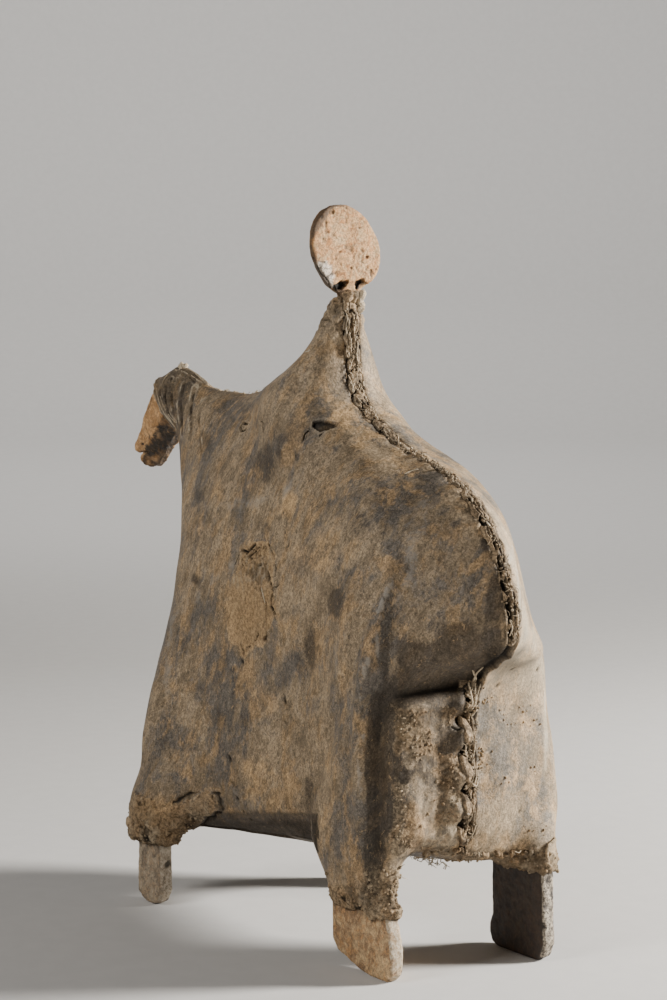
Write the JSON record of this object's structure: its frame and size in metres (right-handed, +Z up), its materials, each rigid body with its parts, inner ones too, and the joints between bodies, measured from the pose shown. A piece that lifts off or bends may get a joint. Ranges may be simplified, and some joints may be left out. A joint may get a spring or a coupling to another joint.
{
  "type": "horse and rider figure",
  "caption": "Standing horse with a seated rider, a hide stretched and laced over the wooden body, with bare plank legs, a small carved horse's face and a flat oval head.",
  "frame": {"origin": "on the ground under the middle of the figure's bounding box", "axes": "+Z up, the horse faces -Y, its left side is +X"},
  "size_m": [0.178, 0.4638, 0.5],
  "materials": {
    "hide": "smoke-darkened rawhide, satin on the ridges, dusty below",
    "lacing": "dry, frayed rawhide thong",
    "pale_wood": "rough, chalky, unvarnished",
    "face_wood": "handled orange-brown wood with a smoky jaw",
    "leg_wood": "weathered, cracked and earthy"
  },
  "bodies": {
    "root": {"hide": "hide", "back_lacing": "lacing", "crest_lacing": "lacing", "rider_head": "pale_wood", "horse_head": "face_wood", "leg_front_left": "leg_wood", "leg_front_right": "leg_wood", "leg_hind_left": "leg_wood", "leg_hind_right": "leg_wood"}
  },
  "joints": []
}
